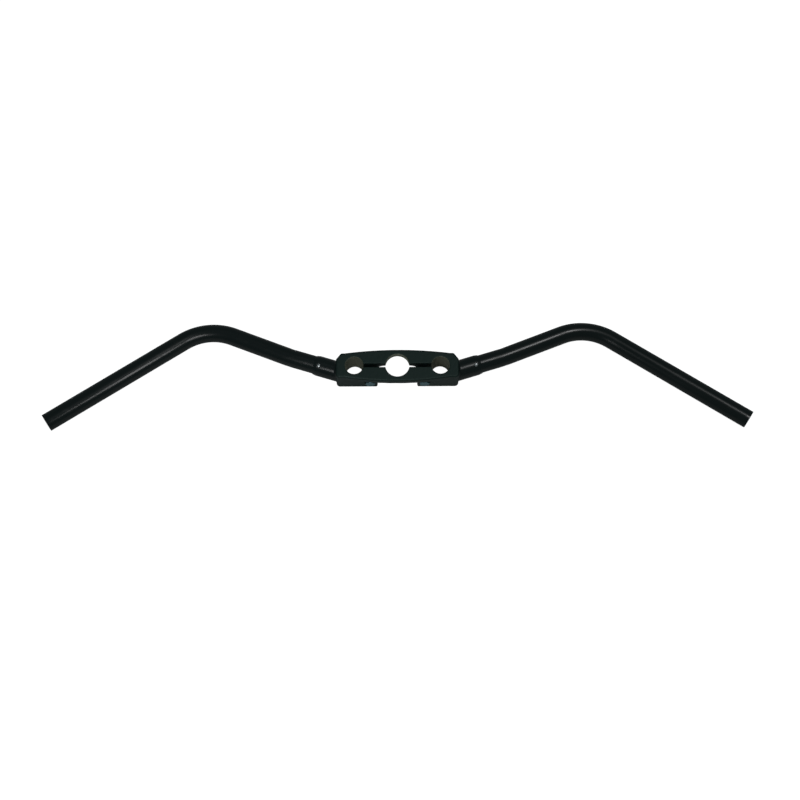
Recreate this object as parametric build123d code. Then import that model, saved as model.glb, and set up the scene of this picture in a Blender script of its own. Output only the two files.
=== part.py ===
from build123d import *
import os
from math import cos, radians, sin, tan

# Springer-fork motorcycle handlebar: a forged clamp block, two bent tubes, and the fasteners.
#
# Frame: origin on the steering-stem bore's axis, halfway up the thin centre web of the block.
# +Z runs up the stem, +Y points forward and +X to the rider's right.  Millimetres throughout.
# Each separate piece of the handlebar is written to its own STEP file in parts/.

INCH = 25.4

# Bar tubes
TUBE_R = 1.0 * INCH / 2
TUBE_WALL = 0.120 * INCH
SOCKET_SWEEP = 17.5            # degrees forward of straight out, where a tube leaves the block
RISER_SWEEP = 21.75            # degrees forward, from the small bend to the large one
GRIP_SWEEP = 33.5              # degrees rearward, along the hand grip
SOCKET_ROOT_X = 89.0           # where a socket's axis crosses the block's middle plane
ROOT_TO_SMALL_BEND = 64.0      # along the socket's axis, to the corner of the small bend
SMALL_TO_LARGE_BEND = 129.0    # corner to corner
LARGE_BEND_TO_END = 10.25 * INCH
SMALL_BEND_R = 4.5 * INCH      # centreline radii
LARGE_BEND_R = 3.0 * INCH
TUBE_END_ROUND = 0.6

# Clamp block
BLOCK_HALF_LENGTH = 86.0
BLOCK_HEIGHT = 1.5 * INCH
WEB_THICKNESS = 0.375 * INCH
FRONT_FACE_Y = 18.8
REAR_FACE_Y = -17.9
CROWN_HALF_DEPTH = 23.8
CROWN_HALF_LENGTH = 74.0
FOOT_INNER_X = 27.8
FRONT_CORNER = (7.0, 9.0)      # chamfer along X and along Y
FRONT_CORNER_ROUND = 3.0
REAR_CORNER_ROUND = 5.0
FOOT_ROUND = 2.9
TOP_ROUND = 2.4
RELIEF_ROUND = 11.0

# Bores of the block
STEM_R = 1.3125 * INCH / 2
STUD_R = 1.0 * INCH / 2
STUD_X = 4.75 * INCH / 2
SLOT_WIDTH = 0.21875 * INCH
BORE_CHAMFER = 0.8

# Sockets that hold the tubes
SOCKET_R = 1.125 * INCH / 2
SOCKET_CLEARANCE = 0.05
SOCKET_HEEL = -9.5             # along the socket's axis from its root: the sleeve's buried end
SOCKET_FLOOR = -2.0
SOCKET_BARREL_END = 23.6
SOCKET_END = 28.6
SOCKET_LIP_R = 13.3
SOCKET_ROOT_FILLET = 3.0

# Socket pins
PIN_R = 0.1875 * INCH / 2
PIN_STATION = 21.0             # along the socket's axis from its root
PIN_LEAN = 18.0                # degrees that the pin leans rearward from straight up
PIN_DOME = 0.5

# Pinch bolts, 5/16-24, with half-inch heads and split lock washers
BOLT_X = 1.5 * INCH
BOLT_BELOW_TOP = 18.0
BOLT_R = 0.3125 * INCH / 2
BOLT_LENGTH = 1.125 * INCH
BOLT_TIP_CHAMFER = 0.9
HEAD_FLATS = 0.5 * INCH
HEAD_HEIGHT = 0.203 * INCH
HEAD_FACE_R = 6.2              # the cone that trims the corners of the outer face: where it starts
HEAD_BEVEL = 30.0              # and its slope, in degrees
HEAD_TURN = 15.0               # degrees the hexagon is turned about its axis
THREAD_CLEARANCE = 0.05
HOLE_R = 4.3                   # clear hole in the rear half
HOLE_BOTTOM_Y = 14.0
SEAT_Y = -14.8
SEAT_R = 8.3
WASHER_R = 7.4
WASHER_BORE_R = 4.05
WASHER_THICKNESS = 0.078 * INCH
WASHER_GAP = 1.0
WASHER_GAP_LEAN = 25.0         # degrees that the split leans from the washer's axis

TOP_Z = WEB_THICKNESS / 2
WEB_UNDER_Z = -WEB_THICKNESS / 2
FOOT_Z = TOP_Z - BLOCK_HEIGHT
BAR_Z = TOP_Z - BLOCK_HEIGHT / 2
BOLT_Z = TOP_Z - BOLT_BELOW_TOP
SIDES = {"left": -1, "right": 1}
THROUGH = 3 * BLOCK_HEIGHT      # long enough to cut right through the block
NEAR = 0.01                     # how closely a position or radius must match to be picked out


def heading(sweep):
    """Unit vector out along the right-hand bar, swept forward by so many degrees."""
    return Vector(cos(radians(sweep)), sin(radians(sweep)), 0)


def mirrored(shape, side):
    """The right-hand shape as it is, or its mirror image for the left."""
    return shape if side > 0 else mirror(shape, about=Plane.YZ)


def socket_plane(station):
    """Plane square to the right-hand socket's axis, so far out from its root."""
    axis = heading(SOCKET_SWEEP)
    root = Vector(SOCKET_ROOT_X, 0, BAR_Z)
    return Plane(origin=root + axis * station, x_dir=(0, 0, 1), z_dir=axis)


def bar_path():
    """Centreline of the right-hand tube, from its seat in the socket to its outer end."""
    seat = socket_plane(SOCKET_FLOOR).origin
    small_bend = socket_plane(ROOT_TO_SMALL_BEND).origin
    large_bend = small_bend + heading(RISER_SWEEP) * SMALL_TO_LARGE_BEND
    outer_end = large_bend + heading(-GRIP_SWEEP) * LARGE_BEND_TO_END
    corners = (seat, small_bend, large_bend, outer_end)
    return FilletPolyline(*corners, radius=[SMALL_BEND_R, LARGE_BEND_R])


def bar_tube():
    """Right-hand bent tube, with its outer rim eased."""
    path = bar_path()
    start = socket_plane(SOCKET_FLOOR)
    ring = start * (Circle(TUBE_R) - Circle(TUBE_R - TUBE_WALL))
    tube = sweep(ring, path=path)
    outer_end = path @ 1
    circles = tube.edges().filter_by(GeomType.CIRCLE)
    rims = [e for e in circles if (e.arc_center - outer_end).length < NEAR]
    tube = chamfer(rims, TUBE_END_ROUND)
    return tube - pin_hole()


def pin_axis():
    """Plane on the socket's axis at the pin, whose normal runs up the pin."""
    axis = heading(SOCKET_SWEEP)
    centre = socket_plane(PIN_STATION).origin
    rearward = Vector(0, 0, 1).cross(axis) * -1
    up = Vector(0, 0, 1) * cos(radians(PIN_LEAN)) + rearward * sin(radians(PIN_LEAN))
    return Plane(origin=centre, x_dir=axis, z_dir=up)


def pin_hole():
    """Hole through both walls of the socket and of the tube."""
    return pin_axis() * Cylinder(PIN_R, THROUGH)


def socket_pin():
    """Right-hand locking pin: a rod through the socket and the tube, its ends domed just proud."""
    rod = Cylinder(PIN_R, THROUGH) & Sphere(SOCKET_R + PIN_DOME)
    return pin_axis() * rod


def foot():
    """Right-hand end of the block: full height, with its outer corners cut back."""
    outer = BLOCK_HALF_LENGTH
    outline = Polyline(
        (FOOT_INNER_X, REAR_FACE_Y),
        (outer, REAR_FACE_Y),
        (outer, FRONT_FACE_Y - FRONT_CORNER[1]),
        (outer - FRONT_CORNER[0], FRONT_FACE_Y),
        (FOOT_INNER_X, FRONT_FACE_Y),
        close=True,
    )
    plan = make_face(outline)
    outer_corners = plan.vertices().filter_by(lambda v: v.X > FOOT_INNER_X + NEAR)
    plan = fillet(outer_corners.filter_by(lambda v: v.Y < 0), REAR_CORNER_ROUND)
    front_corners = plan.vertices().filter_by(lambda v: v.X > FOOT_INNER_X + NEAR and v.Y > 0)
    plan = fillet(front_corners, FRONT_CORNER_ROUND)
    return extrude(Plane.XY.offset(FOOT_Z) * plan, BLOCK_HEIGHT)


def web():
    """Thin plate that joins the two ends, crowned fore and aft around the stem bore."""
    x, front_y, rear_y = CROWN_HALF_LENGTH, FRONT_FACE_Y, REAR_FACE_Y
    front = ThreePointArc((-x, front_y), (0, CROWN_HALF_DEPTH), (x, front_y))
    rear = ThreePointArc((x, rear_y), (0, -CROWN_HALF_DEPTH), (-x, rear_y))
    right = Line((x, front_y), (x, rear_y))
    left = Line((-x, rear_y), (-x, front_y))
    outline = make_face([front, right, rear, left])
    return extrude(Plane.XY.offset(WEB_UNDER_Z) * outline, WEB_THICKNESS)


def forged_body():
    """The block before machining, with the rounded edges of a forging."""
    right = foot()
    body = web() + right + mirror(right, about=Plane.YZ)
    under_web = [e for e in body.edges() if abs(e.center().Z - WEB_UNDER_Z) < NEAR]
    relief = [e for e in under_web if abs(abs(e.center().X) - FOOT_INNER_X) < NEAR]
    body = fillet(relief, RELIEF_ROUND)
    bottom = body.faces().filter_by(Axis.Z).group_by(Axis.Z)[0].edges()
    body = fillet(bottom, FOOT_ROUND)
    top = body.faces().sort_by(Axis.Z)[-1].outer_wire().edges()
    body = fillet(top, TOP_ROUND)
    return body


def socket_barrel():
    """Right-hand sleeve that stands out of the block around the tube."""
    barrel = extrude(socket_plane(SOCKET_HEEL) * Circle(SOCKET_R), SOCKET_BARREL_END - SOCKET_HEEL)
    shoulder = loft([
        socket_plane(SOCKET_BARREL_END) * Circle(SOCKET_R),
        socket_plane(SOCKET_END) * Circle(SOCKET_LIP_R),
    ])
    return barrel + shoulder


def blend_sockets(block):
    """Round the inside corners where the two sleeves leave the block."""
    rounds = block.faces().filter_by(GeomType.CYLINDER)
    sleeves = [f for f in rounds if abs(f.radius - SOCKET_R) < NEAR]
    reach = BLOCK_HALF_LENGTH + SOCKET_ROOT_FILLET
    roots = [e for f in sleeves for e in f.edges() if abs(e.center().X) < reach]
    return fillet(roots, SOCKET_ROOT_FILLET)


def socket_bore():
    """Room for the tube in the right-hand socket."""
    return extrude(socket_plane(SOCKET_FLOOR) * Circle(TUBE_R + SOCKET_CLEARANCE), THROUGH)


def bolt_plane(side, y):
    """Plane square to one pinch bolt's axis, facing forward."""
    return Plane(origin=(side * BOLT_X, y, BOLT_Z), z_dir=(0, 1, 0))


def bolt_hole(side):
    """One pinch bolt's spot face, clear hole and tapped hole, drilled from the rear."""
    seat = bolt_plane(side, SEAT_Y)
    spot = extrude(seat * Circle(SEAT_R), -THROUGH)
    clear = extrude(seat * Circle(HOLE_R), -SEAT_Y)
    tapped = extrude(seat * Circle(BOLT_R + THREAD_CLEARANCE), HOLE_BOTTOM_Y - SEAT_Y)
    return spot + clear + tapped


def upright_bores(block):
    """Bore the block for the steering stem and the fork studs, and chamfer the rims."""
    block -= Cylinder(STEM_R, THROUGH)
    for side in SIDES.values():
        block -= Pos(side * STUD_X, 0, 0) * Cylinder(STUD_R, THROUGH)
    circles = [e for e in block.edges().filter_by(GeomType.CIRCLE) if e.is_closed]
    upright = [e for e in circles if abs(e.arc_center.Y) < NEAR]
    rims = [e for e in upright if min(abs(e.radius - STEM_R), abs(e.radius - STUD_R)) < NEAR]
    return chamfer(rims, BORE_CHAMFER)


def clamp_block():
    """The forging with its sockets, machined."""
    block = forged_body()
    for side in SIDES.values():
        block += mirrored(socket_barrel(), side)
    block = blend_sockets(block)
    block = upright_bores(block)
    for side in SIDES.values():
        block -= mirrored(socket_bore(), side)
        block -= mirrored(pin_hole(), side)
        block -= bolt_hole(side)
    block -= Box(2 * STUD_X, SLOT_WIDTH, THROUGH)
    return block


def pinch_bolt(side):
    """One pinch bolt: a bevelled hex head, and a shank at the thread's outer diameter."""
    under_head = bolt_plane(side, SEAT_Y - WASHER_THICKNESS)
    shank = extrude(under_head * Circle(BOLT_R), BOLT_LENGTH)
    tip = shank.edges().sort_by(Axis.Y)[-1]
    shank = chamfer(tip, BOLT_TIP_CHAMFER)
    hexagon = RegularPolygon(HEAD_FLATS / 2, 6, major_radius=False, rotation=HEAD_TURN)
    head = extrude(under_head * hexagon, -HEAD_HEIGHT)
    seat_r = HEAD_FACE_R + HEAD_HEIGHT / tan(radians(HEAD_BEVEL))
    bevel = Cone(seat_r, HEAD_FACE_R, HEAD_HEIGHT, rotation=(180, 0, 0))
    head &= under_head * Pos(0, 0, -HEAD_HEIGHT / 2) * bevel
    return head + shank


def lock_washer(side):
    """One split lock washer, pressed flat under the bolt's head."""
    seat = bolt_plane(side, SEAT_Y)
    ring = extrude(seat * (Circle(WASHER_R) - Circle(WASHER_BORE_R)), -WASHER_THICKNESS)
    width = WASHER_R - WASHER_BORE_R
    middle = Pos(0, WASHER_BORE_R + width / 2, -WASHER_THICKNESS / 2)
    split = Box(WASHER_GAP, 2 * width, 4 * WASHER_THICKNESS)
    return ring - seat * middle * Rot(0, WASHER_GAP_LEAN, 0) * split


def main():
    os.makedirs("parts", exist_ok=True)
    export_step(clamp_block(), "parts/clamp_block.step")
    for name, side in SIDES.items():
        export_step(mirrored(bar_tube(), side), f"parts/{name}_bar_tube.step")
        export_step(mirrored(socket_pin(), side), f"parts/{name}_socket_pin.step")
        export_step(pinch_bolt(side), f"parts/{name}_pinch_bolt.step")
        export_step(lock_washer(side), f"parts/{name}_lock_washer.step")


main()
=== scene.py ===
import math

import bmesh
import bpy
import numpy as np
from mathutils import Matrix, Vector, noise


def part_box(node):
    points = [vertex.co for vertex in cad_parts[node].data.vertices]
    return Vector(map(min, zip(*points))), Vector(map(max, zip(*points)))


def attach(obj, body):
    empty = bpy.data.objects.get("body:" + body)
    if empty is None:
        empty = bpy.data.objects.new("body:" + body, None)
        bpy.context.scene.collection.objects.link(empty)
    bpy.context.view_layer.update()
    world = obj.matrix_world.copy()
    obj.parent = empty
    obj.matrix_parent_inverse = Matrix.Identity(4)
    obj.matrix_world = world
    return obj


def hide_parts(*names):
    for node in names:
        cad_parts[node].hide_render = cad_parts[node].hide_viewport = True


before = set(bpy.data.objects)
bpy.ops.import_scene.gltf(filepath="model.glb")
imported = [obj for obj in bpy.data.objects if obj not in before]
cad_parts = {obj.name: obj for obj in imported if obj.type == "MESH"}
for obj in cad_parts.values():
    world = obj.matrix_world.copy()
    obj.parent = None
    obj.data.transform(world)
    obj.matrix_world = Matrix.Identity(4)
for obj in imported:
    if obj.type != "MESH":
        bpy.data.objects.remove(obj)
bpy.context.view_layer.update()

MM = 0.001
INCH = 25.4 * MM

# The tubes, sockets and pins, laid out in the row frame as the CAD has them; sweeps in degrees
TUBE_R = 12.7 * MM
TUBE_WALL = 0.120 * INCH
SOCKET_SWEEP = 17.5
RISER_SWEEP = 21.75
GRIP_SWEEP = 33.5
SOCKET_ROOT_X = 89.0 * MM
SOCKET_FLOOR = -2.0 * MM
ROOT_TO_SMALL_BEND = 64.0 * MM
SMALL_TO_LARGE_BEND = 129.0 * MM
LARGE_BEND_TO_END = 10.25 * INCH
SMALL_BEND_R = 4.5 * INCH
LARGE_BEND_R = 3.0 * INCH
SOCKET_R = 1.125 * INCH / 2
PIN_R = 0.1875 * INCH / 2
PIN_STATION = 21.0 * MM
PIN_LEAN = 18.0
PIN_DOME = 0.5 * MM            # how far each end stands out of the sleeve
PIN_DOME_R = 8.0 * MM
PIN_FACE_R = 0.88 * PIN_R      # the part of an end that is domed, inside its rounded edge
PIN_EDGE = 0.3 * MM
TUBE_END_ROUND = 0.6 * MM
STRAIGHT_STEP, BEND_STEP = 6 * MM, 1.5 * MM    # between a tube's rings
BEND_FLATTENING = 0.015        # how much narrower a tube is at the middle of a bend

# The clamp block
STEM_R = 1.3125 * INCH / 2
STUD_R = 12.7 * MM
STUD_X = 4.75 * INCH / 2
BORES = ((0.0, STEM_R), (-STUD_X, STUD_R), (STUD_X, STUD_R))
SLOT_WIDTH = 0.21875 * INCH
FOOT_INNER_X = 27.8 * MM
REAR_FACE_Y, FRONT_FACE_Y = -17.9 * MM, 18.8 * MM
RELIEF_ROUND = 11.0 * MM
INNER_CORNER_ROUND = 3.4 * MM
CORNER_ROUND_GAP = 1.5 * MM    # below the web, where the corners' rounding starts
CORNER_ROUND_FADE = 7 * MM     # the height over which it grows to its full radius
NEAR = 0.3 * MM                # how far off a face a point may lie and still belong to it
SLEEVE_FROM_X = 88 * MM        # the skin beyond this is left smooth
GLOSS_FROM_X = 86.4 * MM       # and beyond this it has the tube's gloss paint
BORE_WALL_DEPTH = 0.35 * MM    # a face this near a bore is part of its machined wall
WALL_TILT = 0.8                # unless its normal points up or down by more than this
BORE_RIM = 1 * MM              # left smooth round each bore
SLOT_RIM = 0.4 * MM            # and beside the slot
LUMPS = ((160, 0.10 * MM), (520, 0.05 * MM))    # forged skin: waves per metre, depth
BLOCK_TOP, BLOCK_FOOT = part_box("clamp_block")[1].z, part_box("clamp_block")[0].z
BAR_Z = (BLOCK_TOP + BLOCK_FOOT) / 2

# The pinch bolts and their washers
BOLT_X = 1.5 * INCH
BOLT_Z = BLOCK_TOP - 18.0 * MM
BOLT_PITCH = INCH / 24
HEAD_FLATS = 0.5 * INCH / 2    # half the width across flats
HEAD_TURN = 15                 # degrees
HEAD_FACE_R, HEAD_CORNER_R = 6.2 * MM, 7.45 * MM
HEAD_BEVEL = 32                # degrees
HEAD_DISH = 0.15 * MM
HEAD_EDGE_DROP = 0.06 * MM
HEAD_FACE = (                  # (radius, depth) out from the middle
    (2.5 * MM, HEAD_DISH),
    (4.6 * MM, HEAD_DISH),
    (5.0 * MM, 0.0),
    (5.95 * MM, 0.0),
    (HEAD_FACE_R, HEAD_EDGE_DROP),
)
HEAD_FLAT_HEIGHTS = (3.2 * MM, 2.2 * MM, 1.2 * MM, 0.6 * MM)
PAST_CORNERS = 9 * MM          # a radius that leaves the hexagon whole
HEAD_LOWER_EDGE = 0.25 * MM
WASHER_FACE_HIGH = 0.4 * MM
HEAD_UNDERSIDE = ((5.9 * MM, 0.38 * MM), (5.85 * MM, 0.0), (4.2 * MM, 0.0))    # (radius, height)
NECK_ROOT = 0.25 * MM
BOLT_NECK = 2.4 * MM
THREAD_MAJOR_R, THREAD_MINOR_R = 3.93 * MM, 3.35 * MM
THREAD_CREST, THREAD_FLANK = 0.12, 0.72    # parts of half a pitch
THREAD_FADE = 1.2              # turns, from the neck to full depth
RINGS_PER_TURN = 12
BOLT_TIP_R = 3.0 * MM
BOLT_SHARP, WASHER_SHARP = 32, 40    # degrees; an edge that turns by more isn't shaded smooth
WASHER_INNER_R, WASHER_OUTER_R = 4.05 * MM, 7.4 * MM
WASHER_GAP, WASHER_SLANT = 7.5, 7.0    # degrees
WASHER_EDGE = 0.22 * MM

SIDES = {"left": -1, "right": 1}


def heading(sweep):
    """Unit vector out along the right-hand bar, swept forward by so many degrees."""
    return Vector((math.cos(math.radians(sweep)), math.sin(math.radians(sweep)), 0))


# ---------------------------------------------------------------- meshes

def make_piece(name, verts, faces, body, material, uvs=None):
    """A new piece from vertices and faces, smooth shaded, riding on its CAD body."""
    mesh = bpy.data.meshes.new(name)
    mesh.from_pydata([tuple(v) for v in verts], [], faces)
    if uvs is not None:
        layer = mesh.uv_layers.new(name="UVMap")
        flat = [c for face in faces for i in face for c in uvs[i]]
        layer.data.foreach_set("uv", flat)
    mesh.validate()
    mesh.shade_smooth()
    mesh.materials.append(material)
    piece = bpy.data.objects.new(name, mesh)
    bpy.context.scene.collection.objects.link(piece)
    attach(piece, body)
    return piece


def ring_faces(rings, size):
    """Quads between successive rings of so many vertices, the last ring joined to the first."""
    faces = []
    for i in range(rings):
        a, b = i * size, ((i + 1) % rings) * size
        for j in range(size):
            k = (j + 1) % size
            faces.append((a + j, a + k, b + k, b + j))
    return faces


# ---------------------------------------------------------------- bar tubes

def bar_stations(side):
    """(distance, point, direction, bend) along a tube's centreline; bend is 0 on a straight run."""
    root = Vector((SOCKET_ROOT_X, 0, BAR_Z))
    seat = root + heading(SOCKET_SWEEP) * SOCKET_FLOOR
    small = root + heading(SOCKET_SWEEP) * ROOT_TO_SMALL_BEND
    large = small + heading(RISER_SWEEP) * SMALL_TO_LARGE_BEND
    end = large + heading(-GRIP_SWEEP) * LARGE_BEND_TO_END
    stations = []
    travelled = 0.0
    here = seat
    runs = [
        (small, SOCKET_SWEEP, RISER_SWEEP, SMALL_BEND_R),
        (large, RISER_SWEEP, -GRIP_SWEEP, LARGE_BEND_R),
        (end, -GRIP_SWEEP, -GRIP_SWEEP, 0.0),
    ]
    for corner, before, after, radius in runs:
        turn = math.radians(after - before)
        tangent = radius * math.tan(abs(turn) / 2)
        run = (corner - here).length - tangent
        steps = max(2, round(run / STRAIGHT_STEP))
        for i in range(steps):
            s = run * i / steps
            stations.append((travelled + s, here + heading(before) * s, before, 0.0))
        travelled += run
        here = here + heading(before) * run
        if radius == 0.0:
            stations.append((travelled, here, before, 0.0))
            continue
        steps = max(4, round(radius * abs(turn) / BEND_STEP))
        sense = 1 if turn > 0 else -1
        centre = here + heading(before + 90 * sense) * radius
        for i in range(steps):
            angle = before + math.degrees(turn) * i / steps
            point = centre - heading(angle + 90 * sense) * radius
            distance = travelled + radius * abs(turn) * i / steps
            stations.append((distance, point, angle, math.sin(math.pi * i / steps) * sense))
        travelled += radius * abs(turn)
        here = centre - heading(after + 90 * sense) * radius
    flipped = []
    for s, p, angle, bend in stations:
        d = heading(angle)
        flipped.append((s, Vector((p.x * side, p.y, p.z)), Vector((d.x * side, d.y, 0)), bend))
    return flipped


def bar_tube(side_name, side, material, bare):
    """A bent tube: smooth painted outside, rounded cut ends, and its open inside."""
    around = 96
    stations = bar_stations(side)
    length = stations[-1][0]
    inner_r = TUBE_R - TUBE_WALL
    profile = []
    for s, p, d, bend in stations[:-1]:
        if s < length - 3 * TUBE_END_ROUND:
            profile.append((p, d, TUBE_R, bend, s))
    _, end, out, _ = stations[-1]
    lip = []
    for angle in (0, 22.5, 45, 67.5, 90):
        a = math.radians(angle)
        lip.append((TUBE_END_ROUND * (1 - math.sin(a)), TUBE_END_ROUND * (1 - math.cos(a))))
    for back, drop in lip:
        profile.append((end - out * back, out, TUBE_R - drop, 0.0, length - back))
    for back, drop in reversed(lip):
        profile.append((end - out * back, out, inner_r + drop, 0.0, length - back))
    for s, p, d, bend in reversed(stations[:-1]):
        if s < length - 3 * TUBE_END_ROUND:
            profile.append((p, d, inner_r, bend, s))
    verts, uvs = [], []
    up = Vector((0, 0, 1))
    for p, d, r, bend, s in profile:
        level = up.cross(d)
        squeeze = 1 - BEND_FLATTENING * abs(bend)
        for j in range(around):
            a = 2 * math.pi * j / around
            verts.append(p + level * (r * math.cos(a) * squeeze) + up * (r * math.sin(a)))
            uvs.append((s, r * a))
    faces = ring_faces(len(profile), around)
    piece = make_piece(f"{side_name}_tube", verts, faces, "bar", material, uvs)
    piece.data.materials.append(bare)
    outside = sum(1 for q in profile if q[2] > inner_r + TUBE_END_ROUND)
    for i, poly in enumerate(piece.data.polygons):
        if i // around >= outside + 1:
            poly.material_index = 1
    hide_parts(f"{side_name}_bar_tube")


# ---------------------------------------------------------------- clamp block

def round_inner_corners(co):
    """Round the feet's upright inner corners, from the bottom up to where the web begins."""
    web_under = -BLOCK_TOP    # the web's middle is at the origin's height
    climb = np.clip(co[:, 2] - (web_under - RELIEF_ROUND), 0, RELIEF_ROUND)
    inner = FOOT_INNER_X - RELIEF_ROUND + np.sqrt(RELIEF_ROUND ** 2 - climb ** 2)
    fade = np.clip((web_under - CORNER_ROUND_GAP - co[:, 2]) / CORNER_ROUND_FADE, 0, 1)
    radius = INNER_CORNER_ROUND * fade * fade * (3 - 2 * fade)
    depth_in = np.abs(co[:, 0]) - inner
    for face, inward in ((REAR_FACE_Y, 1), (FRONT_FACE_Y, -1)):
        depth_y = (co[:, 1] - face) * inward
        corner = (depth_in > -NEAR) & (depth_y > -NEAR) & (depth_in < radius) & (depth_y < radius)
        du, dv = radius - depth_in, radius - depth_y
        reach = np.hypot(du, dv)
        corner &= reach > radius
        pull = np.where(corner, radius / np.maximum(reach, 1e-9), 1.0)
        new_x = inner + radius - du * pull
        new_y = face + inward * (radius - dv * pull)
        co[corner, 0] = np.sign(co[corner, 0]) * new_x[corner]
        co[corner, 1] = new_y[corner]


def clamp_block(paint, machined, gloss):
    """The forged block: the CAD block remeshed finely, its edges eased and its skin a little uneven."""
    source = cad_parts["clamp_block"]
    work = bpy.data.objects.new("block_work", source.data.copy())
    bpy.context.scene.collection.objects.link(work)
    remesh = work.modifiers.new("remesh", "REMESH")
    remesh.mode = "VOXEL"
    remesh.voxel_size = 0.5 * MM
    snap = work.modifiers.new("snap", "SHRINKWRAP")
    snap.target = source
    snap.wrap_method = "NEAREST_SURFACEPOINT"
    ease = work.modifiers.new("ease", "SMOOTH")
    ease.factor = 0.5
    ease.iterations = 3
    graph = bpy.context.evaluated_depsgraph_get()
    mesh = bpy.data.meshes.new_from_object(work.evaluated_get(graph))
    bpy.data.objects.remove(work)
    mesh.name = "forged_block"
    piece = bpy.data.objects.new("forged_block", mesh)
    bpy.context.scene.collection.objects.link(piece)

    count = len(mesh.vertices)
    co = np.zeros(count * 3)
    mesh.vertices.foreach_get("co", co)
    co = co.reshape(-1, 3)
    normals = np.zeros(count * 3)
    mesh.vertex_normals.foreach_get("vector", normals)
    normals = normals.reshape(-1, 3)
    round_inner_corners(co)
    near_bore = np.zeros(count, bool)
    for x, r in BORES:
        near_bore |= np.hypot(co[:, 0] - x, co[:, 1]) < r + BORE_RIM
    in_slot = (np.abs(co[:, 1]) < SLOT_WIDTH / 2 + SLOT_RIM) & (np.abs(co[:, 0]) < STUD_X)
    sleeve = np.abs(co[:, 0]) > SLEEVE_FROM_X
    forged = ~(near_bore | in_slot | sleeve)
    for i in np.nonzero(forged)[0]:
        p = Vector(co[i])
        co[i] -= normals[i] * abs(sum(noise.noise(p * waves) * deep for waves, deep in LUMPS))
    mesh.vertices.foreach_set("co", co.ravel())
    mesh.update()
    mesh.materials.clear()
    mesh.materials.append(paint)
    mesh.materials.append(machined)
    mesh.materials.append(gloss)
    centres = np.zeros(len(mesh.polygons) * 3)
    mesh.polygons.foreach_get("center", centres)
    centres = centres.reshape(-1, 3)
    face_normals = np.zeros(len(mesh.polygons) * 3)
    mesh.polygons.foreach_get("normal", face_normals)
    face_normals = face_normals.reshape(-1, 3)
    wall = np.zeros(len(centres), bool)
    for x, r in BORES:
        wall |= np.hypot(centres[:, 0] - x, centres[:, 1]) < r + BORE_WALL_DEPTH
    wall &= np.abs(face_normals[:, 2]) < WALL_TILT
    sleeve_skin = np.abs(centres[:, 0]) > GLOSS_FROM_X
    mesh.polygons.foreach_set("material_index", np.where(sleeve_skin, 2, wall).astype(np.int32))
    mesh.shade_smooth()
    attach(piece, "bar")
    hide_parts("clamp_block")


# ---------------------------------------------------------------- fasteners

def turned(rings, bottom, top, place):
    """Vertices and faces of a closed solid: a pole, rings of (radius, height) going up, and a pole."""
    around = len(rings[0])
    verts = [place @ Vector((0, 0, bottom))]
    for ring in rings:
        for j, (r, z) in enumerate(ring):
            a = 2 * math.pi * j / around
            verts.append(place @ Vector((r * math.cos(a), r * math.sin(a), z)))
    verts.append(place @ Vector((0, 0, top)))
    faces = []
    pole, last = len(verts) - 1, 1 + (len(rings) - 1) * around
    for j in range(around):
        k = (j + 1) % around
        faces.append((0, 1 + k, 1 + j))
        faces.append((pole, last + j, last + k))
    for i in range(len(rings) - 1):
        a, b = 1 + i * around, 1 + (i + 1) * around
        for j in range(around):
            k = (j + 1) % around
            faces.append((a + j, a + k, b + k, b + j))
    return verts, faces


def socket_pin(side_name, side, material):
    """A locking pin: a rod whose driven ends are rounded over just proud of the sleeve."""
    axis = heading(SOCKET_SWEEP)
    axis.x *= side
    level = Vector((0, 0, 1)).cross(axis) * side
    lean = math.radians(PIN_LEAN)
    up = Vector((0, 0, 1)) * math.cos(lean) - level * math.sin(lean)
    centre = Vector((side * SOCKET_ROOT_X, 0, BAR_Z)) + axis * PIN_STATION
    place = Matrix.Translation(centre) @ up.to_track_quat("Z", "X").to_matrix().to_4x4()
    tall = SOCKET_R + PIN_DOME
    fall = PIN_DOME_R - math.sqrt(PIN_DOME_R ** 2 - PIN_FACE_R ** 2)
    half = []
    for i in range(1, 9):
        r = PIN_FACE_R * i / 8
        half.append((r, tall - PIN_DOME_R + math.sqrt(PIN_DOME_R ** 2 - r ** 2)))
    for i in range(1, 6):
        a = math.radians(18 * i)
        r = PIN_FACE_R + (PIN_R - PIN_FACE_R) * math.sin(a)
        half.append((r, tall - fall - PIN_EDGE * (1 - math.cos(a))))
    outline = [(r, -z) for r, z in half] + list(reversed(half))
    verts, faces = turned([[point] * 40 for point in outline], -tall, tall, place)
    piece = make_piece(f"{side_name}_pin", verts, faces, "bar", material)
    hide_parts(f"{side_name}_socket_pin")


def bolt_place(side):
    """Matrix to the row frame from a bolt's own, whose origin is under the head, +Z out of it."""
    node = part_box(f"{'right' if side > 0 else 'left'}_lock_washer")
    under_head = Matrix.Translation((side * BOLT_X, node[0].y, BOLT_Z))
    return under_head @ Matrix.Rotation(math.radians(90), 4, "X")


def hex_radius(angle, limit):
    """Radius of the hexagon at an angle, or the limit where that is less."""
    inside = ((angle - math.radians(HEAD_TURN)) % (math.pi / 3)) - math.pi / 6
    return min(limit, HEAD_FLATS / math.cos(inside))


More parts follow.
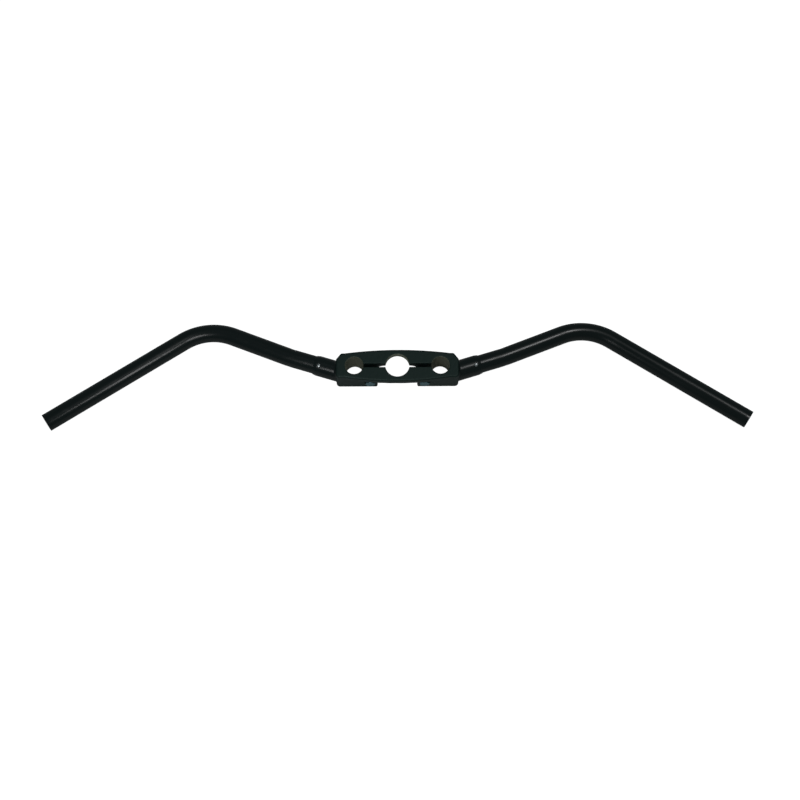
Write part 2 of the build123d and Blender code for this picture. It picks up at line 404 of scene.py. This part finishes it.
def head_rings(high, angles):
    """A hex head from its dished face down: bevelled corners, flats and a washer face."""
    around = len(angles)
    rings = [[(r, high - drop)] * around for r, drop in HEAD_FACE]
    for k in range(1, 9):
        r = HEAD_FACE_R + (HEAD_CORNER_R - HEAD_FACE_R) * k / 8
        z = high - HEAD_EDGE_DROP - (r - HEAD_FACE_R) * math.tan(math.radians(HEAD_BEVEL))
        rings.append([(hex_radius(a, r), z) for a in angles])
    for z in HEAD_FLAT_HEIGHTS:
        rings.append([(hex_radius(a, PAST_CORNERS), z) for a in angles])
    rings.append([(hex_radius(a, PAST_CORNERS) - HEAD_LOWER_EDGE, WASHER_FACE_HIGH) for a in angles])
    for point in HEAD_UNDERSIDE:
        rings.append([point] * around)
    return rings


def shank_rings(shank, around):
    """A plain neck, then a true helical thread, which fades in and ends at the chamfered tip."""
    rings = [[(THREAD_MAJOR_R, z)] * around for z in (-NECK_ROOT, -0.6 * BOLT_NECK)]
    count = int((shank - BOLT_NECK) / BOLT_PITCH * RINGS_PER_TURN)
    for i in range(count + 1):
        z = BOLT_NECK + (shank - BOLT_NECK) * i / count
        ring = []
        for j in range(around):
            across = abs(2 * ((z / BOLT_PITCH + j / around) % 1.0) - 1)
            depth = min(1.0, max(0.0, (across - THREAD_CREST) / THREAD_FLANK))
            depth *= min(1.0, (z - BOLT_NECK) / (THREAD_FADE * BOLT_PITCH))
            r = THREAD_MAJOR_R - (THREAD_MAJOR_R - THREAD_MINOR_R) * depth
            ring.append((min(r, BOLT_TIP_R + shank - z), -z))
        rings.append(ring)
    return rings


def pinch_bolt(side_name, side, material):
    """A hex bolt, from the tip of its thread up to its head."""
    low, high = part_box(f"{side_name}_pinch_bolt")
    place = bolt_place(side)
    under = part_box(f"{side_name}_lock_washer")[0].y
    head_high = under - low.y
    shank = high.y - under
    around = 72
    angles = [2 * math.pi * j / around for j in range(around)]
    rings = head_rings(head_high, angles) + shank_rings(shank, around)
    verts, faces = turned(rings[::-1], -shank, head_high - HEAD_DISH, place)
    name = f"{side_name}_bolt"
    piece = make_piece(name, verts, faces, name, material)
    piece.data.set_sharp_from_angle(angle=math.radians(BOLT_SHARP))
    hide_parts(f"{side_name}_pinch_bolt")


def lock_washer(side_name, side, material):
    """A split lock washer: a square-section ring with a slanted gap, as it lies when pressed flat."""
    low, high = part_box(f"{side_name}_lock_washer")
    thick = high.y - low.y
    place = bolt_place(side)
    inner, outer = WASHER_INNER_R, WASHER_OUTER_R
    gap = math.radians(WASHER_GAP)
    slant = math.radians(WASHER_SLANT)
    around = 64
    edge = WASHER_EDGE
    bulge = edge * 0.3
    section = [
        (inner + edge, 0),
        (outer - edge, 0),
        (outer - bulge, bulge),
        (outer, edge),
        (outer, thick - edge),
        (outer - bulge, thick - bulge),
        (outer - edge, thick),
        (inner + edge, thick),
        (inner + bulge, thick - bulge),
        (inner, thick - edge),
        (inner, edge),
        (inner + bulge, bulge),
    ]
    size = len(section)
    verts, faces = [], []
    for i in range(around + 1):
        t = i / around
        for r, z in section:
            lean = slant * (z / thick - 0.5)
            a = math.pi / 2 + gap / 2 + lean + (2 * math.pi - gap) * t
            verts.append(place @ Vector((r * math.cos(a), r * math.sin(a), z - thick)))
    for i in range(around):
        for j in range(size):
            k = (j + 1) % size
            faces.append((i * size + j, (i + 1) * size + j, (i + 1) * size + k, i * size + k))
    faces.append(tuple(range(size)))
    faces.append(tuple(around * size + j for j in range(size - 1, -1, -1)))
    name = f"{side_name}_washer"
    piece = make_piece(name, verts, faces, name, material)
    piece.data.set_sharp_from_angle(angle=math.radians(WASHER_SHARP))
    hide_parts(f"{side_name}_lock_washer")


# ---------------------------------------------------------------- materials

class Look:
    """A material under construction: short helpers that add and join its nodes."""

    def __init__(self, name):
        self.material = bpy.data.materials.new(name)
        self.material.use_nodes = True
        self.tree = self.material.node_tree
        self.shader = next(n for n in self.tree.nodes if n.type == "BSDF_PRINCIPLED")
        self.place = self.node("ShaderNodeTexCoord").outputs["Object"]

    def node(self, kind, **settings):
        made = self.tree.nodes.new(kind)
        for key, value in settings.items():
            setattr(made, key, value)
        return made

    def join(self, a, b):
        self.tree.links.new(a, b)

    def put(self, socket, value):
        if isinstance(value, bpy.types.NodeSocket):
            self.join(value, socket)
        else:
            socket.default_value = value

    def set(self, **values):
        for key, value in values.items():
            self.put(self.shader.inputs[key.replace("_", " ")], value)

    def noise(self, scale, detail=3.0, rough=0.5, stretch=None):
        made = self.node("ShaderNodeTexNoise")
        made.inputs["Scale"].default_value = scale
        made.inputs["Detail"].default_value = detail
        made.inputs["Roughness"].default_value = rough
        place = self.place
        if stretch is not None:
            mapping = self.node("ShaderNodeMapping")
            mapping.inputs["Scale"].default_value = stretch
            self.join(place, mapping.inputs["Vector"])
            place = mapping.outputs["Vector"]
        self.join(place, made.inputs["Vector"])
        return made.outputs["Fac"]

    def ramp(self, value, low, high, out_low=0.0, out_high=1.0):
        made = self.node("ShaderNodeMapRange")
        self.join(value, made.inputs["Value"])
        made.inputs["From Min"].default_value = low
        made.inputs["From Max"].default_value = high
        self.put(made.inputs["To Min"], out_low)
        self.put(made.inputs["To Max"], out_high)
        return made.outputs["Result"]

    def mix(self, factor, a, b):
        made = self.node("ShaderNodeMix", data_type="RGBA")
        self.put(made.inputs["Factor"], factor)
        self.put(made.inputs["A"], a)
        self.put(made.inputs["B"], b)
        return made.outputs["Result"]

    def math(self, operation, a, b=0.0):
        made = self.node("ShaderNodeMath", operation=operation)
        self.put(made.inputs[0], a)
        self.put(made.inputs[1], b)
        return made.outputs["Value"]

    def bump(self, height, distance, strength=1.0, after=None):
        made = self.node("ShaderNodeBump")
        made.inputs["Distance"].default_value = distance
        made.inputs["Strength"].default_value = strength
        self.join(height, made.inputs["Height"])
        if after is not None:
            self.join(after, made.inputs["Normal"])
        return made.outputs["Normal"]


def tube_paint():
    """Gloss black paint over a smooth tube: faint orange peel, a little dust and a few dull rubs."""
    look = Look("gloss_black_paint")
    cloud = look.noise(9, 4)
    dust = look.ramp(look.noise(2600, 2), 0.70, 0.76)
    rubs = look.ramp(look.noise(38, 5, 0.62, stretch=(1.0, 3.0, 3.0)), 0.55, 0.72)
    base = look.mix(cloud, (0.0030, 0.0070, 0.0078, 1), (0.0045, 0.0095, 0.0102, 1))
    gloss = look.ramp(cloud, 0.3, 0.7, 0.20, 0.26)
    look.set(
        Base_Color=look.mix(look.math("MULTIPLY", dust, 0.5), base, (0.05, 0.052, 0.05, 1)),
        Roughness=look.math("ADD", gloss, look.math("MULTIPLY", rubs, 0.10)),
        IOR=1.5,
    )
    look.set(Normal=look.bump(look.noise(240, 2), 0.00001, 0.22))
    return look.material


def block_paint():
    """Satin black paint over a shot-blasted forging."""
    look = Look("satin_black_paint")
    cloud = look.noise(26, 5, 0.6)
    grain = look.noise(1100, 3, 0.55)
    dust = look.ramp(look.noise(2300, 2), 0.68, 0.75)
    base = look.mix(cloud, (0.0040, 0.0120, 0.0106, 1), (0.0064, 0.0164, 0.0146, 1))
    look.set(
        Base_Color=look.mix(look.math("MULTIPLY", dust, 0.4), base, (0.06, 0.064, 0.06, 1)),
        Roughness=look.ramp(grain, 0.3, 0.7, 0.42, 0.56),
        IOR=1.5,
        Specular_Tint=(0.76, 0.97, 0.92, 1),
    )
    skin = look.bump(grain, 0.00006, 0.5)
    look.set(Normal=look.bump(look.noise(240, 4), 0.0002, 0.35, skin))
    return look.material


def machined_steel():
    """Bored wall: tool rings round the bore, a thin brown-grey film over the steel."""
    look = Look("machined_bore")
    rings = look.noise(1.0, 2, 0.6, stretch=(20, 20, 4200))
    film = look.noise(90, 5, 0.65)
    look.set(
        Base_Color=look.mix(film, (0.26, 0.27, 0.20, 1), (0.42, 0.43, 0.34, 1)),
        Metallic=0.55,
        Roughness=look.ramp(film, 0.3, 0.7, 0.38, 0.56),
    )
    look.set(Normal=look.bump(rings, 0.00004, 0.5))
    return look.material


def bare_tube():
    """Inside of a tube: drawn steel with lengthwise marks and a thin dark scale."""
    look = Look("drawn_steel_inside")
    scale = look.noise(140, 5, 0.6)
    uv = look.node("ShaderNodeTexCoord").outputs["UV"]
    mapping = look.node("ShaderNodeMapping")
    mapping.inputs["Scale"].default_value = (12, 2200, 1)
    look.join(uv, mapping.inputs["Vector"])
    marks = look.node("ShaderNodeTexNoise")
    marks.inputs["Scale"].default_value = 1.0
    look.join(mapping.outputs["Vector"], marks.inputs["Vector"])
    look.set(
        Base_Color=look.mix(scale, (0.035, 0.033, 0.030, 1), (0.085, 0.080, 0.072, 1)),
        Metallic=0.7,
        Roughness=look.ramp(scale, 0.3, 0.7, 0.42, 0.60),
    )
    look.set(Normal=look.bump(marks.outputs["Fac"], 0.00003, 0.4))
    return look.material


def zinc(name, dark, light, rough):
    """Blue-tinted zinc plate: faint mottling and fine scratches."""
    look = Look(name)
    mottle = look.noise(520, 4, 0.6)
    look.set(
        Base_Color=look.mix(mottle, dark, light),
        Metallic=0.9,
        Roughness=look.ramp(mottle, 0.3, 0.7, rough - 0.06, rough + 0.08),
    )
    look.set(Normal=look.bump(look.noise(2400, 2), 0.00001, 0.5))
    return look.material


# ---------------------------------------------------------------- studio

LOOK_AT = Vector((0, 0, BLOCK_TOP))
DISTANCE = 2.0
ELEVATION, AZIMUTH, ROLL = 67.65, 0.0, -0.27    # degrees
SENSOR = 36.0
VIEW_WIDTH = 0.8 / 0.7171      # metres that the picture spans at the block
CAMERA_SHIFT = 0.0033, -0.0437    # parts of the picture's width
FLOOR_HALF_WIDTH = 12.0
FLOOR_GAP = 0.2 * MM
WALL_RADIUS = 12.5
SKY_COLOUR = (0.78, 1.0, 0.98, 1)
SKY_STRENGTH = 0.12


def view_axes():
    """Camera's right, up and backward directions."""
    e, a, r = (math.radians(v) for v in (ELEVATION, AZIMUTH, ROLL))
    forward = Vector((math.sin(a) * math.cos(e), math.cos(a) * math.cos(e), -math.sin(e)))
    right = Vector((math.cos(a), -math.sin(a), 0))
    up = right.cross(forward)
    rolled_right = right * math.cos(r) + up * math.sin(r)
    rolled_up = up * math.cos(r) - right * math.sin(r)
    return rolled_right, rolled_up, -forward


def camera():
    """The photograph's camera, behind and above the bar."""
    right, up, back = view_axes()
    data = bpy.data.cameras.new("camera")
    data.sensor_width = SENSOR
    data.lens = SENSOR * DISTANCE / VIEW_WIDTH
    data.shift_x, data.shift_y = CAMERA_SHIFT
    data.clip_start, data.clip_end = 0.01, 100
    made = bpy.data.objects.new("camera", data)
    bpy.context.scene.collection.objects.link(made)
    turn = Matrix((right, up, back)).transposed()
    made.matrix_world = Matrix.Translation(LOOK_AT + back * DISTANCE) @ turn.to_4x4()
    bpy.context.scene.camera = made


def lamp(name, aside, above, back_off, width, height, watts):
    """A soft lamp facing the block, placed in metres along the camera's right, up and back."""
    right, up, back = view_axes()
    offset = right * aside + up * above + back * back_off
    data = bpy.data.lights.new(name, "AREA")
    data.shape = "RECTANGLE"
    data.size, data.size_y = width, height
    data.energy = watts
    made = bpy.data.objects.new(name, data)
    bpy.context.scene.collection.objects.link(made)
    made.visible_camera = False
    level = (right - offset * (right.dot(offset) / offset.length_squared)).normalized()
    toward = offset.normalized()
    turn = Matrix((level, toward.cross(level), toward)).transposed()
    made.matrix_world = Matrix.Translation(LOOK_AT + offset) @ turn.to_4x4()


def pale(name, glow, reflectance):
    """Plain white studio material that also glows a little, like the top of a light table."""
    look = Look(name)
    look.set(Base_Color=(reflectance, reflectance, reflectance, 1), Roughness=0.9)
    look.shader.inputs["Emission Color"].default_value = (1, 1, 1, 1)
    look.shader.inputs["Emission Strength"].default_value = glow
    return look.material


def floor():
    """A plain pale floor under the block's feet. Its own glow lights only the studio, not the bar."""
    w, z = FLOOR_HALF_WIDTH, BLOCK_FOOT - FLOOR_GAP
    mesh = bpy.data.meshes.new("studio_floor")
    mesh.from_pydata([(-w, -w, z), (w, -w, z), (w, w, z), (-w, w, z)], [], [(0, 1, 2, 3)])
    mesh.materials.append(pale("studio_floor", glow=0.96, reflectance=0.6))
    made = bpy.data.objects.new("studio_floor", mesh)
    bpy.context.scene.collection.objects.link(made)
    stage_only = bpy.data.collections.new("stage_only")
    stage_only.objects.link(made)
    made.light_linking.receiver_collection = stage_only


def backdrop():
    """A plain pale wall all round, far off, for the views from low down. Only the camera sees it."""
    mesh = bpy.data.meshes.new("studio_wall")
    shell = bmesh.new()
    bmesh.ops.create_icosphere(shell, subdivisions=4, radius=WALL_RADIUS)
    bmesh.ops.reverse_faces(shell, faces=shell.faces)
    shell.to_mesh(mesh)
    shell.free()
    mesh.materials.append(pale("studio_wall", glow=0.97, reflectance=0.0))
    made = bpy.data.objects.new("studio_wall", mesh)
    bpy.context.scene.collection.objects.link(made)
    made.visible_diffuse = False
    made.visible_glossy = False
    made.visible_transmission = False
    made.visible_shadow = False


def studio():
    """World, view settings, lamps, floor and wall."""
    world = bpy.data.worlds.new("studio")
    world.use_nodes = True
    back = world.node_tree.nodes["Background"]
    back.inputs["Color"].default_value = SKY_COLOUR
    back.inputs["Strength"].default_value = SKY_STRENGTH
    scene = bpy.context.scene
    scene.world = world
    scene.view_settings.view_transform = "Standard"
    scene.view_settings.look = "None"
    # Each lamp's place aside, above and back, its width and height, and its watts
    lamp("key_high", 1.80, 2.70, 6.0, 0.90, 1.7, 47)
    lamp("key_low", -0.1425, -0.08, 0.5, 0.185, 0.16, 0.43)
    lamp("key_bend", -0.2525, -0.13, 0.5, 0.035, 0.06, 0.06)
    lamp("fill_high", 1.20, 4.80, 6.0, 3.0, 2.4, 4)
    floor()
    backdrop()


def build():
    """Every visible piece, in its material."""
    gloss, satin = tube_paint(), block_paint()
    bore, inside = machined_steel(), bare_tube()
    bolt_zinc = zinc("zinc_plate", (0.07, 0.18, 0.22, 1), (0.21, 0.36, 0.42, 1), rough=0.17)
    pin_steel = zinc("ground_pin", (0.28, 0.30, 0.31, 1), (0.39, 0.41, 0.42, 1), rough=0.28)
    washer_zinc = zinc("washer_plate", (0.22, 0.25, 0.26, 1), (0.36, 0.40, 0.41, 1), rough=0.38)
    clamp_block(satin, bore, gloss)
    for name, side in SIDES.items():
        bar_tube(name, side, gloss, inside)
        socket_pin(name, side, pin_steel)
        pinch_bolt(name, side, bolt_zinc)
        lock_washer(name, side, washer_zinc)


build()
camera()
studio()
